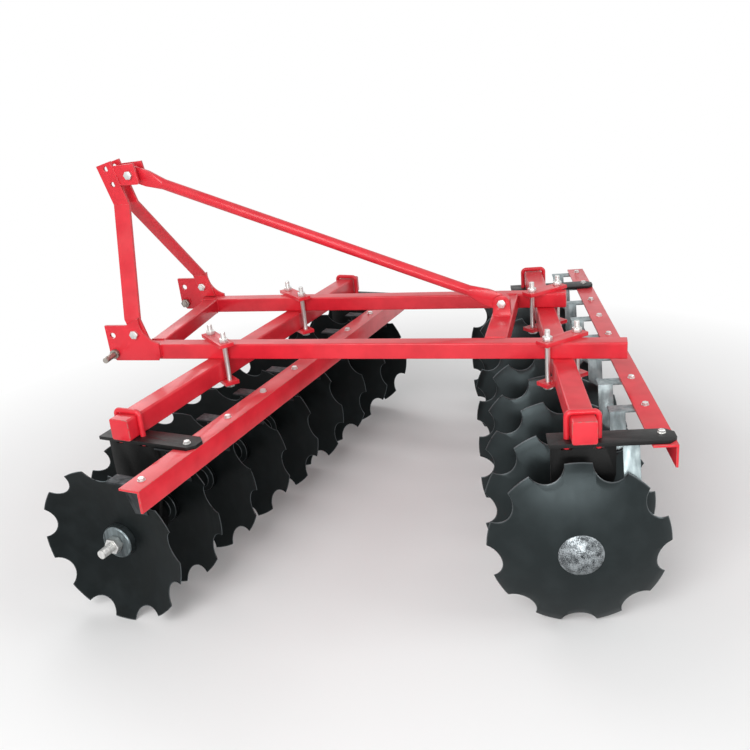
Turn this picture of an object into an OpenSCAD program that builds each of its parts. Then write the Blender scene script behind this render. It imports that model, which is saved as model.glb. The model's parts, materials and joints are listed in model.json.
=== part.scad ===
// Mounted offset disc harrow with two gangs of notched discs, millimetres.
// +X is the direction of travel, +Y is its left side, +Z is up and z = 0 is the ground.

/* [Discs] */
// Diameter of a disc over its lobes
disc_d = 560; // [520:5:580]
// Thickness of the disc plate
disc_t = 5; // [4:0.5:7]
// Radius of the spherical dish, on its concave side
dish_r = 660; // [600:10:800]
// Radius of the flat seat at the middle of a disc
seat_r = 70; // [66:1:80]
// Discs on each gang
discs_per_gang = 9; // [7:1:9]
// Distance from one disc to the next along the axle
disc_pitch = 235; // [225:1:245]
// Notches round the rim of a disc
notch_count = 9; // [7:1:10]
// Radius of a notch
notch_r = 60; // [45:1:65]
// How far the centre of a notch lies outside the rim
notch_out = 17; // [8:1:25]

/* [Gang axle] */
// Width of the square axle
axle_w = 36; // [30:1:37]
// Radius of the waist of a spool
spool_r = 42; // [40:1:50]
// Radius of the flanges of a spool
flange_r = 60; // [55:1:64]
// Thickness of the flanges of a spool
flange_t = 14; // [10:1:20]
// Radius of the journal that turns in a bearing
journal_r = 35; // [33:1:38]
// Radius of the threaded end of the axle
thread_r = 15; // [12:1:17]
// Radius of the thick end washer
washer_r = 58; // [45:1:66]
// Thickness of the end washer
washer_t = 28; // [15:1:35]
// Width of the axle nut across its flats
nut_w = 50; // [44:1:56]
// Thickness of the axle nut
nut_t = 26; // [18:1:32]
// Length of thread that shows past the nut
thread_past = 50; // [10:1:55]
// Radius of the domed cap at the head of the axle
cap_r = 70; // [50:1:80]
// Height of the domed cap
cap_h = 26; // [18:1:36]

/* [Gang places] */
// Front gang, centre along the machine
front_gang_x = 518; // [480:1:560]
// Front gang, centre across the machine
front_gang_y = 20; // [0:1:40]
// Front gang, angle by which its left end leads
front_angle = 11.5; // [8:0.5:14]
// Rear gang, centre along the machine
rear_gang_x = -655; // [-690:1:-620]
// Rear gang, centre across the machine
rear_gang_y = -24; // [-40:1:0]
// Rear gang, angle by which its left end trails
rear_angle = 8.5; // [6:0.5:11]

/* [Gang beams] */
// Width and height of a gang beam
beam_w = 75; // [70:1:80]
// Radius of the edges of a gang beam
beam_edge = 8; // [6:1:10]
// How far a beam lies behind its axle
beam_back = 20; // [10:1:30]
// How far a beam runs past its outer hanger
beam_past = 52; // [50:1:80]

/* [Hangers and bearings] */
// Height of the hanger plate's underside above the axle
hanger_rise = 321; // [315:1:345]
// Thickness of the hanger plate
hanger_t = 12; // [10:1:16]
// Width of the hanger plate along the beam
hanger_w = 84; // [80:1:100]
// Reach of the hanger plate ahead of the beam's middle
hanger_front = 104; // [90:1:115]
// Thickness of the upright web
web_t = 16; // [12:1:20]
// Reach of the web behind the axle, at its top
web_rear = 118; // [100:1:120]
// Outer radius of the bearing housing
housing_r = 68; // [60:1:80]
// Length of the bearing housing
housing_len = 92; // [80:1:110]
// Running gap round the journal
journal_gap = 0.3; // [0.3:0.1:0.5]
// Radius of the rod of a U-bolt
rod_r = 9; // [8:0.5:10]
// Radius of the bends of a U-bolt, at the rod's middle
rod_bend = 15; // [14:1:16]

/* [Scrapers] */
// Width of each flange of the scraper angle
angle_w = 75; // [70:1:80]
// Thickness of the scraper angle
angle_t = 8; // [6:1:10]
// Rear face of the angle, behind the beam's middle
angle_back = 270; // [262:1:285]
// How far the angle runs past its last scraper
angle_past = 62; // [40:1:70]
// Offset of a scraper from its disc, along the axle
scraper_off = 130; // [125:1:140]
// Width of a scraper
scraper_w = 50; // [40:1:52]
// Thickness of a scraper
scraper_t = 6; // [5:1:8]
// Reach of the scraper's foot ahead of the angle
scraper_reach = 80; // [70:1:82]
// Height of the scraper's tip above the axle
tip_rise = 150; // [130:1:165]
// Gap between the scraper's tip and the dish
tip_gap = 8; // [6:1:12]

/* [Main frame] */
// Width and height of the frame tubes
tube_w = 60; // [55:1:65]
// Radius of the edges of the frame tubes
tube_edge = 6; // [4:1:8]
// Middle of each long tube, from the centre line
tube_y = 295; // [280:1:310]
// Front end of the long tubes
tube_front = 865; // [855:1:880]
// Rear end of the left long tube
left_rear = -939; // [-980:1:-900]
// Rear end of the right long tube
right_rear = -720; // [-760:1:-710]
// Middle of the front cross tube, behind the front end of the long tubes
cross_back = 49; // [41:1:75]
// Middle of the rear cross tube
rear_cross_x = -490; // [-520:1:-450]
// Width of the rear cross tube
rear_cross_w = 80; // [70:1:90]

/* [Clamps] */
// Width of a clamp strip
strip_w = 55; // [48:1:62]
// Thickness of a clamp strip
strip_t = 14; // [10:1:18]
// Radius of a clamp bolt
clamp_bolt_r = 9; // [8:0.5:10]
// Gap between a clamp bolt and the tubes beside it
clamp_gap = 8; // [5:1:10]
// Thread that shows above a clamp nut
clamp_past = 24; // [10:1:40]

/* [Hitch plates and pins] */
// Thickness of the hitch plates
plate_t = 12; // [10:1:16]
// Reach of the hitch plates ahead of the long tubes
plate_nose = 126; // [120:1:140]
// Reach of a hitch plate's toe along its long tube
plate_tail = 87; // [75:1:95]
// Height of a hitch plate's front edge above the tubes
plate_rise = 81; // [75:1:90]
// Height of a hitch plate behind the mast above the tubes
plate_peak = 108; // [100:1:120]
// Radius of the hollow behind the mast
hollow_r = 92; // [80:1:100]
// Radius of a lower link pin
link_pin_r = 11; // [10:0.5:12]
// Radius of a lower link pin's collar
collar_r = 18; // [16:1:20]
// Length of the collar
collar_len = 14; // [8:1:20]
// Length of the pin past its collar
link_pin_len = 66; // [60:1:80]
// Radius of the linch pin hole
linch_r = 5; // [4:0.5:6]
// Radius of the spare pin hole in the plate
spare_r = 11.5; // [10:0.5:13]

/* [Mast] */
// Width of the mast bars
mast_w = 60; // [55:1:65]
// Thickness of the mast bars
mast_t = 12; // [10:1:14]
// Middle of the mast bar at the top of the frame, behind the front end of the long tubes
mast_back = 19; // [13:1:25]
// Forward lean of the mast bars, run over rise
mast_lean = 0.294; // [0.25:0.002:0.32]
// Length of the upright foot of a mast bar
mast_foot_rise = 100; // [90:1:115]
// Top of the ears above the frame
mast_top_rise = 657; // [640:1:680]
// Bend of the mast bars, below the top of the ears
bend_drop = 172; // [157:1:197]
// Gap between the ears
ear_gap = 58; // [52:1:64]
// Radius of a top link hole
top_hole_r = 10; // [9.5:0.5:12]
// Lower top link hole, below the top of the ears
lower_hole_drop = 90; // [77:1:102]
// Upper top link hole, below the top of the ears
upper_hole_drop = 29; // [22:1:42]
// Radius of the bolts at the mast foot and at the brace
joint_bolt_r = 10; // [8:0.5:11]
// Width of those bolts' heads across the flats
joint_head_w = 30; // [26:1:34]

/* [Brace] */
// Outer radius of the brace tube
brace_r = 21; // [18:1:24]
// Height of the flattened ends
eye_h = 62; // [54:1:66]
// Thickness of the flattened ends
eye_t = 14; // [10:1:18]
// Length of a flattened end past its bolt
eye_flat = 62; // [50:1:75]
// Length over which the tube turns flat
eye_taper = 70; // [50:1:90]
// Front bolt of the brace, behind the mast bar's middle
head_back = 85; // [80:1:95]
// Front bolt of the brace, below the top of the ears
head_drop = 57; // [47:1:67]
// Height of the head plates
head_h = 76; // [66:1:84]
// Rear bolt of the brace above the frame
rear_eye_rise = 49; // [44:1:60]
// Thickness of the two ears on the rear cross tube
rear_ear_t = 12; // [10:1:16]

/* [Hidden] */
$fn = 64;
hole_gap = 0.3;
bolt_hole_gap = 0.5;
axle_hole_gap = 0.5;
seat_gap = 0.3;
cut = 1;

// Heights
axle_z = disc_d / 2;
hanger_z = axle_z + hanger_rise;
beam_z = hanger_z + hanger_t;
tube_z = beam_z + beam_w;
frame_top = tube_z + tube_w;

// Dish of a disc, measured from the seat on its convex side
outer_dish_r = dish_r + disc_t;
dish_centre = sqrt(outer_dish_r * outer_dish_r - seat_r * seat_r);
rim_depth = dish_centre - sqrt(dish_r * dish_r - axle_z * axle_z);
function inner_depth(r) = dish_centre - sqrt(dish_r * dish_r - r * r);

// Disc seats along the axle, from the nut end at +Y to the cap end at -Y
half_count = (discs_per_gang - 1) / 2;
function seat_y(i) = (half_count - i) * disc_pitch;
hanger_y = (half_count - 0.5) * disc_pitch;
spool_len = disc_pitch - disc_t;
spool_bore_r = axle_w / sqrt(2) + axle_hole_gap;
washer_y = seat_y(0) + disc_t;
nut_y = washer_y + washer_t;
thread_end = nut_y + nut_t + thread_past;
cap_y = seat_y(discs_per_gang - 1);

// Gang beam and scraper angle in the gang's own frame
beam_x = -beam_back;
beam_half = hanger_y + beam_past;
angle_x = beam_x - angle_back;
angle_front_x = angle_x + angle_w;
angle_top_y = seat_y(0) + scraper_off + angle_past;
angle_low_y = seat_y(discs_per_gang - 1) + scraper_off - angle_past;
scraper_x = angle_front_x + scraper_reach - scraper_w / 2;
foot_z = hanger_z - angle_t;

// One row for each gang: [centre x, centre y, angle, side, first quarter turn]
FRONT = [front_gang_x, front_gang_y, front_angle, 1, 0];
REAR = [rear_gang_x, rear_gang_y, -rear_angle, -1, 2];

// Clamp bolts in the wide corners between a long tube and a gang beam
clamp_dy = tube_w / 2 + clamp_bolt_r + clamp_gap;
clamp_dx = beam_w / 2 + clamp_bolt_r + clamp_gap;
function clamp_turn(g) = abs(g[2]);
function clamp_run(g) = (clamp_dx - clamp_dy * sin(clamp_turn(g))) / cos(clamp_turn(g));
function clamp_side(g) = g[2] > 0 ? -1 : 1;
function cross_x(g, y) = g[0] + beam_x * cos(g[2]) + (y - g[1] + beam_x * sin(g[2])) * tan(g[2]);
clamp_nut_t = 16;
clamp_head_t = 12;
clamp_head_w = 30;

// Front of the main frame
front_cross_x = tube_front - cross_back;
plate_front = tube_front + plate_nose;
plate_toe = tube_front - plate_tail;
mast_foot_x = tube_front - mast_back;

// Mast and brace
tube_out = tube_y + tube_w / 2;
tube_in = tube_y - tube_w / 2;
mast_foot_y = tube_out - mast_t / 2;
ear_y = ear_gap / 2 + mast_t / 2;
mast_half = mast_w / 2 * sqrt(1 + mast_lean * mast_lean);
mast_seat = 2;
mast_bend_rise = mast_top_rise - bend_drop;
lower_hole_rise = mast_top_rise - lower_hole_drop;
upper_hole_rise = mast_top_rise - upper_hole_drop;
head_rise = mast_top_rise - head_drop;
function mast_x(rise) = mast_foot_x + mast_lean * rise;
foot_bolt_rise = 46;
foot_bolt_ahead = 10;
foot_bolt_x = mast_x(foot_bolt_rise) + foot_bolt_ahead;
head_x = mast_x(head_rise) - head_back;
head_z = frame_top + head_rise;
rear_eye_x = rear_cross_x;
rear_eye_z = frame_top + rear_eye_rise;
brace_len = sqrt(pow(head_x - rear_eye_x, 2) + pow(head_z - rear_eye_z, 2));
brace_pitch = atan2(head_z - rear_eye_z, head_x - rear_eye_x);
eye_half = eye_t / 2;
joint_head_t = 12;
joint_bolt_past = 8;
head_lift = 6;
head_corner = 8;

// Hitch plates and lower link pins
nose_in = 4;
nose_rise = 22;
nose_cut = 26;
toe_cut = 12;
toe_past = 6;
hollow_rise = 4;
link_pin_back = 26;
link_pin_rise = 29;
link_pin_x = plate_front - link_pin_back;
link_pin_z = tube_z + link_pin_rise;
link_nut_t = 16;
link_nut_w = 34;
link_nut_past = 6;
linch_back = 14;
spare_back = 28;
spare_drop = 40;
spare_x = plate_front - spare_back;
spare_z = frame_top + plate_rise - spare_drop;

// Hangers, U-bolts and scrapers
u_gap = 1;
u_leg = beam_w / 2 + rod_r + u_gap;
u_top = beam_z + beam_w + rod_r + seat_gap;
u_nut_t = 12;
u_nut_w = 28;
u_nut_past = 10;
u_nut_room = 3;
u_slot = 12;
web_inset = 8;
web_drop = 110;
foot_inset = 6;

// Spools
waist_step = 4;
waist_half = 20;
flange_slope = 10;
journal_past = 6;

red = [0.86, 0.10, 0.15];
charcoal = [0.12, 0.13, 0.13];
black = [0.07, 0.06, 0.06];
zinc = [0.82, 0.83, 0.84];
steel = [0.70, 0.74, 0.77];

// Square or oblong tube section with round edges
module tube_section(w, h, edge) {
    square([w - 2 * edge, h], center = true);
    square([w, h - 2 * edge], center = true);
    for (x = [-1, 1], y = [-1, 1]) {
        translate([x * (w / 2 - edge), y * (h / 2 - edge)]) circle(edge);
    }
}

// Closed tube along X from x0 to x1
module x_tube(x0, x1, y, z, w, h, edge) {
    translate([x0, y, z]) rotate([90, 0, 90]) linear_extrude(x1 - x0) tube_section(w, h, edge);
}

// Closed tube along Y from y0 to y1
module y_tube(y0, y1, x, z, w, h, edge) {
    translate([x, y0, z]) rotate([-90, 0, 0]) linear_extrude(y1 - y0) tube_section(w, h, edge);
}

// Round bar along Y
module y_rod(r, y0, y1, x, z) {
    translate([x, y0, z]) rotate([-90, 0, 0]) cylinder(r = r, h = y1 - y0);
}

// Hexagon along Z, width across its flats
module hexagon(w, h) {
    cylinder(r = w / sqrt(3), h = h, $fn = 6);
}

// Plate of thickness t standing in the XZ plane, its middle at y
module side_plate(y, t) {
    translate([0, y, 0]) rotate([90, 0, 0]) linear_extrude(t, center = true) children();
}

// A gang's own frame: +X ahead, +Y towards the nut end, z = 0 on the ground
module on_gang(g) {
    translate([g[0], g[1], 0]) rotate([0, 0, -g[2]]) mirror([0, g[3] < 0 ? 1 : 0, 0]) children();
}

// Main frame

module long_tube(side, rear) {
    x_tube(rear, tube_front, side * tube_y, tube_z + tube_w / 2, tube_w, tube_w, tube_edge);
}

module left_long_tube() {
    color(red) long_tube(1, left_rear);
}

module right_long_tube() {
    color(red) long_tube(-1, right_rear);
}

module front_cross_tube() {
    color(red)
        y_tube(-tube_in, tube_in, front_cross_x, tube_z + tube_w / 2, tube_w, tube_w, tube_edge);
}

module rear_ear_outline() {
    difference() {
        union() {
            translate([rear_eye_x, rear_eye_z]) circle(eye_h / 2);
            polygon([
                [rear_cross_x - rear_cross_w / 2 + tube_edge, frame_top - tube_edge],
                [rear_cross_x + rear_cross_w / 2 - tube_edge, frame_top - tube_edge],
                [rear_eye_x + eye_h / 2, rear_eye_z],
                [rear_eye_x - eye_h / 2, rear_eye_z]
            ]);
        }
        translate([rear_eye_x, rear_eye_z]) circle(joint_bolt_r + hole_gap);
    }
}

module rear_cross_tube() {
    color(red) union() {
        y_tube(-tube_in, tube_in, rear_cross_x, tube_z + tube_w / 2,
            rear_cross_w, tube_w, tube_edge);
        for (side = [-1, 1]) {
            side_plate(side * (eye_half + seat_gap + rear_ear_t / 2), rear_ear_t) rear_ear_outline();
        }
    }
}

// Clamps where the long tubes cross the gang beams

module at_clamps(g) {
    for (side = [-1, 1]) {
        translate([cross_x(g, side * tube_y), side * tube_y, 0]) children();
    }
}

module clamp_strip(g) {
    run = clamp_run(g);
    half = sqrt(run * run + clamp_dy * clamp_dy);
    rotate([0, 0, atan2(clamp_side(g) * clamp_dy, run)]) difference() {
        translate([-half - strip_w / 2, -strip_w / 2, 0]) cube([2 * half + strip_w, strip_w, strip_t]);
        for (end = [-1, 1]) {
            translate([end * half, 0, -cut])
                cylinder(r = clamp_bolt_r + bolt_hole_gap, h = strip_t + 2 * cut);
        }
    }
}

module clamp_strips(g) {
    color(red) at_clamps(g) {
        translate([0, 0, frame_top]) clamp_strip(g);
        translate([0, 0, beam_z - strip_t]) clamp_strip(g);
    }
}

module clamp_bolts(g) {
    low = beam_z - strip_t;
    high = frame_top + strip_t;
    color(zinc) at_clamps(g) for (end = [-1, 1]) {
        translate([end * clamp_run(g), end * clamp_side(g) * clamp_dy, 0]) {
            translate([0, 0, low - clamp_head_t]) hexagon(clamp_head_w, clamp_head_t);
            translate([0, 0, low - clamp_head_t])
                cylinder(r = clamp_bolt_r, h = high - low + clamp_head_t + clamp_nut_t + clamp_past);
            translate([0, 0, high]) hexagon(clamp_head_w, clamp_nut_t);
        }
    }
}

// Hitch plates and lower link pins

module hitch_outline() {
    peak_x = mast_x(plate_peak) - mast_half;
    difference() {
        polygon([
            [plate_front, frame_top + plate_rise],
            [plate_front - nose_in, tube_z + nose_rise],
            [plate_front - nose_cut, tube_z],
            [plate_toe + toe_cut, tube_z],
            [plate_toe, tube_z + toe_cut],
            [plate_toe, frame_top + toe_past],
            [peak_x, frame_top + plate_peak],
            [mast_x(plate_rise) + mast_half, frame_top + plate_rise]
        ]);
        translate([peak_x - hollow_r, frame_top + hollow_rise + hollow_r]) circle(hollow_r);
        translate([spare_x, spare_z]) circle(spare_r);
        translate([foot_bolt_x, frame_top + foot_bolt_rise]) circle(joint_bolt_r + hole_gap);
        translate([link_pin_x, link_pin_z]) circle(link_pin_r + hole_gap);
    }
}

module hitch_plate(side) {
    color(red) side_plate(side * (tube_out + plate_t / 2), plate_t) hitch_outline();
}

module left_hitch_plate() {
    hitch_plate(1);
}

module right_hitch_plate() {
    hitch_plate(-1);
}

module link_pin() {
    plate_in = tube_out;
    plate_out = tube_out + plate_t;
    tip = plate_out + collar_len + link_pin_len;
    color(zinc) difference() {
        union() {
            y_rod(link_pin_r, plate_in - link_nut_t - link_nut_past, tip, link_pin_x, link_pin_z);
            y_rod(collar_r, plate_out, plate_out + collar_len, link_pin_x, link_pin_z);
            translate([link_pin_x, plate_in, link_pin_z]) rotate([90, 0, 0])
                hexagon(link_nut_w, link_nut_t);
        }
        translate([link_pin_x, tip - linch_back, link_pin_z - link_pin_r - cut])
            cylinder(r = linch_r, h = 2 * link_pin_r + 2 * cut);
    }
}

module left_link_pin() {
    link_pin();
}

module right_link_pin() {
    mirror([0, 1, 0]) link_pin();
}

// Mast

// Bent strip of the bar seen from the front, in Y and Z
module mast_front_view() {
    bend_z = frame_top + mast_bend_rise;
    knee_z = frame_top + mast_foot_rise;
    lean = atan2(mast_foot_y - ear_y, bend_z - knee_z);
    slope_len = sqrt(pow(mast_foot_y - ear_y, 2) + pow(bend_z - knee_z, 2));
    translate([mast_foot_y - mast_t / 2, frame_top + mast_seat])
        square([mast_t, mast_foot_rise - mast_seat]);
    translate([mast_foot_y, knee_z]) circle(mast_t / 2);
    translate([mast_foot_y, knee_z]) rotate(lean) translate([-mast_t / 2, 0]) square([mast_t, slope_len]);
    translate([ear_y, bend_z]) circle(mast_t / 2);
    translate([ear_y - mast_t / 2, bend_z]) square([mast_t, mast_top_rise - mast_bend_rise]);
}

// Slanted outline of the bar seen from the side, in X and Z
module mast_side_view() {
    difference() {
        polygon([
            [mast_x(-cut) - mast_half, frame_top - cut],
            [mast_x(-cut) + mast_half, frame_top - cut],
            [mast_x(mast_top_rise) + mast_half, frame_top + mast_top_rise - mast_lean * mast_w],
            [mast_x(mast_top_rise) - mast_half, frame_top + mast_top_rise]
        ]);
        translate([foot_bolt_x, frame_top + foot_bolt_rise]) circle(joint_bolt_r + hole_gap);
        for (rise = [lower_hole_rise, upper_hole_rise]) {
            translate([mast_x(rise), frame_top + rise]) circle(top_hole_r);
        }
    }
}

module mast_bar() {
    reach = plate_front + mast_w;
    color(red) intersection() {
        rotate([90, 0, 90]) linear_extrude(2 * reach) mast_front_view();
        translate([0, -cut, 0]) rotate([90, 0, 180]) mirror([1, 0, 0])
            linear_extrude(tube_out + 2 * cut) mast_side_view();
    }
}

module left_mast_bar() {
    mast_bar();
}

module right_mast_bar() {
    mirror([0, 1, 0]) mast_bar();
}

module head_outline() {
    low = head_rise - head_h / 2;
    high = head_rise + head_h / 2;
    difference() {
        polygon([
            [mast_x(low) - mast_half, frame_top + low],
            [mast_x(high) - mast_half, frame_top + high],
            [head_x - head_h / 3, frame_top + high + head_lift],
            [head_x - head_h / 2, frame_top + low + head_corner],
            [head_x - head_h / 2 + head_corner, frame_top + low]
        ]);
        translate([head_x, head_z]) circle(joint_bolt_r + hole_gap);
    }
}

module mast_head_plates() {
    color(red) for (side = [-1, 1]) {
        side_plate(side * ear_y, mast_t) head_outline();
    }
}

// Hexagon bolt along Y with its nut, gripping from y0 to y1
module cross_bolt(y0, y1, x, z) {
    y_rod(joint_bolt_r, y0 - joint_head_t - joint_bolt_past, y1 + joint_head_t, x, z);
    translate([x, y0, z]) rotate([90, 0, 0]) hexagon(joint_head_w, joint_head_t);
    translate([x, y1, z]) rotate([-90, 0, 0]) hexagon(joint_head_w, joint_head_t);
}

module mast_foot_bolts() {
    color(zinc) for (side = [0, 1]) {
        mirror([0, side, 0]) cross_bolt(tube_out - mast_t, tube_out + plate_t,
            foot_bolt_x, frame_top + foot_bolt_rise);
    }
}

// Brace from the mast head down to the rear cross tube

// Flattened end of the tube, its bolt at the origin and the tube towards +X
module brace_eye() {
    difference() {
        union() {
            y_rod(eye_h / 2, -eye_half, eye_half, 0, 0);
            translate([0, -eye_half, -eye_h / 2]) cube([eye_flat, eye_t, eye_h]);
            hull() {
                translate([eye_flat - cut, -eye_half, -eye_h / 2]) cube([cut, eye_t, eye_h]);
                translate([eye_flat + eye_taper, 0, 0]) rotate([0, 90, 0])
                    cylinder(r = brace_r, h = cut, $fn = 32);
            }
        }
        y_rod(joint_bolt_r + hole_gap, -eye_t, eye_t, 0, 0);
    }
}

module brace_tube() {
    start = eye_flat + eye_taper;
    color(red) translate([rear_eye_x, 0, rear_eye_z]) rotate([0, -brace_pitch, 0]) union() {
        translate([start, 0, 0]) rotate([0, 90, 0]) cylinder(r = brace_r, h = brace_len - 2 * start);
        brace_eye();
        translate([brace_len, 0, 0]) rotate([0, 180, 0]) brace_eye();
    }
}

module brace_bolts() {
    rear_grip = eye_half + seat_gap + rear_ear_t;
    front_grip = ear_y + mast_t / 2;
    color(zinc) {
        cross_bolt(-rear_grip, rear_grip, rear_eye_x, rear_eye_z);
        cross_bolt(-front_grip, front_grip, head_x, head_z);
    }
}

// Gang beams, hangers and scrapers

module gang_beam(g) {
    color(red) on_gang(g)
        y_tube(-beam_half, beam_half, beam_x, beam_z + beam_w / 2, beam_w, beam_w, beam_edge);
}

module at_hangers() {
    for (side = [-1, 1]) {
        translate([0, side * hanger_y, 0]) children();
    }
}

module u_bolt() {
    low = hanger_z - u_nut_t - u_nut_past;
    for (side = [-1, 1]) {
        translate([side * u_leg, 0, low]) cylinder(r = rod_r, h = u_top - rod_bend - low);
        translate([side * u_leg, 0, hanger_z - u_nut_t]) hexagon(u_nut_w, u_nut_t);
        translate([side * (u_leg - rod_bend), 0, u_top - rod_bend]) rotate([90, 0, 0])
            intersection() {
                rotate_extrude() translate([rod_bend, 0]) circle(rod_r);
                translate([side > 0 ? 0 : -2 * u_leg, 0, -u_leg]) cube([2 * u_leg, 2 * u_leg, 2 * u_leg]);
            }
    }
    translate([rod_bend - u_leg, 0, u_top]) rotate([0, 90, 0])
        cylinder(r = rod_r, h = 2 * (u_leg - rod_bend));
}

module u_bolts(g) {
    color(red) on_gang(g) at_hangers() translate([beam_x, 0, 0]) u_bolt();
}

// Upright web of a hanger, in X and Z
module web_outline() {
    front = beam_x + hanger_front - web_inset;
    difference() {
        union() {
            translate([0, axle_z]) circle(housing_r);
            polygon([
                [front, hanger_z],
                [front, hanger_z - web_drop],
                [housing_r, axle_z],
                [-housing_r, axle_z],
                [-web_rear, hanger_z - web_drop],
                [-web_rear, hanger_z]
            ]);
        }
        translate([0, axle_z]) circle(journal_r + journal_gap);
    }
}

module hanger() {
    plate_rear = angle_x;
    plate_front_x = beam_x + hanger_front;
    corner = 24;
    difference() {
        union() {
            translate([0, 0, hanger_z]) linear_extrude(hanger_t) polygon([
                [plate_front_x, -hanger_w / 2],
                [plate_front_x, hanger_w / 2],
                [plate_rear + corner, hanger_w / 2],
                [plate_rear, hanger_w / 2 - corner],
                [plate_rear, corner - hanger_w / 2],
                [plate_rear + corner, -hanger_w / 2]
            ]);
            side_plate(0, web_t) web_outline();
            difference() {
                y_rod(housing_r, -housing_len / 2, housing_len / 2, 0, axle_z);
                y_rod(journal_r + journal_gap, -housing_len, housing_len, 0, axle_z);
            }
        }
        for (side = [-1, 1]) {
            translate([beam_x + side * u_leg, 0, hanger_z - u_nut_t - u_slot])
                cylinder(r = rod_r + bolt_hole_gap, h = hanger_t + u_nut_t + u_slot + cut);
            translate([beam_x + side * u_leg, 0, hanger_z - u_nut_t - u_slot])
                cylinder(r = u_nut_w / sqrt(3) + u_nut_room, h = u_nut_t + u_slot);
        }
    }
}

module hangers(g) {
    color(black) on_gang(g) at_hangers() hanger();
}

module scraper_angle(g) {
    color(red) on_gang(g) translate([0, angle_low_y, 0]) rotate([-90, 0, 0])
        linear_extrude(angle_top_y - angle_low_y) polygon([
            [angle_x, -hanger_z],
            [angle_front_x, -hanger_z],
            [angle_front_x, angle_t - hanger_z],
            [angle_x + angle_t, angle_t - hanger_z],
            [angle_x + angle_t, angle_w - hanger_z],
            [angle_x, angle_w - hanger_z]
        ]);
}

// Bent strip of a scraper seen along X, in Y and Z, with the disc's seat at y = 0
module scraper_strip() {
    edge_x = abs(scraper_x) + scraper_w / 2;
    tip_y = inner_depth(sqrt(edge_x * edge_x + tip_rise * tip_rise)) + tip_gap + scraper_t / 2;
    tip_z = axle_z + tip_rise;
    bend_y = scraper_off - scraper_w / 2;
    bend_z = foot_z - scraper_t / 2;
    blade_len = sqrt(pow(bend_y - tip_y, 2) + pow(bend_z - tip_z, 2));
    translate([bend_y, bend_z - scraper_t / 2]) square([scraper_w, scraper_t]);
    translate([bend_y, bend_z]) circle(scraper_t / 2);
    translate([bend_y, bend_z]) rotate(-atan2(bend_y - tip_y, bend_z - tip_z))
        translate([-scraper_t / 2, -blade_len]) square([scraper_t, blade_len]);
}

// Scraper of one disc: a blade with a foot that runs back under the angle
module scraper() {
    foot_rear = angle_x + angle_t + foot_inset;
    translate([scraper_x - scraper_w / 2, 0, 0]) rotate([90, 0, 90])
        linear_extrude(scraper_w) scraper_strip();
    translate([foot_rear, scraper_off - scraper_w / 2, foot_z - scraper_t])
        cube([scraper_x - foot_rear, scraper_w, scraper_t]);
}

module scrapers(g) {
    color(steel) on_gang(g) for (i = [0 : discs_per_gang - 1]) {
        translate([0, seat_y(i), 0]) scraper();
    }
}

// Gang axle with its discs and spools

// Moves a shape turned about +Z onto the axle, its +Z towards the nut end
module on_axle(y) {
    translate([0, y, axle_z]) rotate([-90, 0, 0]) children();
}

module axle(g) {
    color(zinc) on_gang(g) on_axle(0) {
        translate([-axle_w / 2, -axle_w / 2, cap_y]) cube([axle_w, axle_w, washer_y - cap_y]);
        translate([0, 0, washer_y - cut]) cylinder(r = thread_r, h = thread_end - washer_y + cut);
    }
}

module disc_section() {
    difference() {
        intersection() {
            translate([0, dish_centre]) circle(outer_dish_r, $fn = 360);
            square([axle_z, rim_depth + cut]);
        }
        intersection() {
            translate([0, dish_centre]) circle(dish_r, $fn = 360);
            translate([-cut, disc_t]) square([disc_d, disc_d]);
        }
    }
}

// Dished disc with a lobe at the bottom, its seat at z = 0 and its hollow side up
module disc() {
    step = 360 / notch_count;
    hole_w = axle_w + 2 * axle_hole_gap;
    difference() {
        rotate_extrude() disc_section();
        translate([-hole_w / 2, -hole_w / 2, -cut]) cube([hole_w, hole_w, disc_t + 2 * cut]);
        for (k = [0 : notch_count - 1]) {
            rotate([0, 0, 90 + (k + 0.5) * step]) translate([axle_z + notch_out, 0, -cut])
                cylinder(r = notch_r, h = rim_depth + 4 * cut);
        }
    }
}

module discs(g) {
    color(charcoal) on_gang(g) for (i = [0 : discs_per_gang - 1]) {
        on_axle(seat_y(i)) rotate([0, 0, 90 * (i + g[4])]) disc();
    }
}

// Half section of a spool, from its middle out to one flange
module spool_section(middle_r, middle_half) {
    half = spool_len / 2;
    polygon([
        [spool_bore_r, 0],
        [middle_r, 0],
        [middle_r, middle_half],
        [spool_r, middle_half + waist_step],
        [spool_r, half - flange_t - flange_slope],
        [flange_r, half - flange_t],
        [flange_r, half],
        [spool_bore_r, half]
    ]);
}

module spool(bearing) {
    middle_r = bearing ? journal_r : spool_r - waist_step;
    middle_half = bearing ? housing_len / 2 + journal_past : waist_half;
    rotate_extrude() {
        spool_section(middle_r, middle_half);
        mirror([0, 1]) spool_section(middle_r, middle_half);
    }
}

module spools(g) {
    color(charcoal) on_gang(g) for (i = [0 : discs_per_gang - 2]) {
        on_axle(seat_y(i) - spool_len / 2) spool(i == 0 || i == discs_per_gang - 2);
    }
}

module end_washer(g) {
    chamfer = 4;
    color(black) on_gang(g) on_axle(washer_y) rotate_extrude() polygon([
        [thread_r + bolt_hole_gap, 0],
        [washer_r, 0],
        [washer_r, washer_t - chamfer],
        [washer_r - chamfer, washer_t],
        [thread_r + bolt_hole_gap, washer_t]
    ]);
}

module axle_nut(g) {
    color(zinc) on_gang(g) on_axle(nut_y) difference() {
        hexagon(nut_w, nut_t);
        translate([0, 0, -cut]) cylinder(r = thread_r + hole_gap, h = nut_t + 2 * cut);
    }
}

module end_cap(g) {
    dome_r = (cap_r * cap_r + cap_h * cap_h) / (2 * cap_h);
    color(zinc) on_gang(g) on_axle(cap_y) intersection() {
        translate([0, 0, dome_r - cap_h]) sphere(dome_r, $fn = 128);
        translate([0, 0, -2 * cap_h]) cylinder(r = cap_r - cut, h = 2 * cap_h);
    }
}

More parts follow.
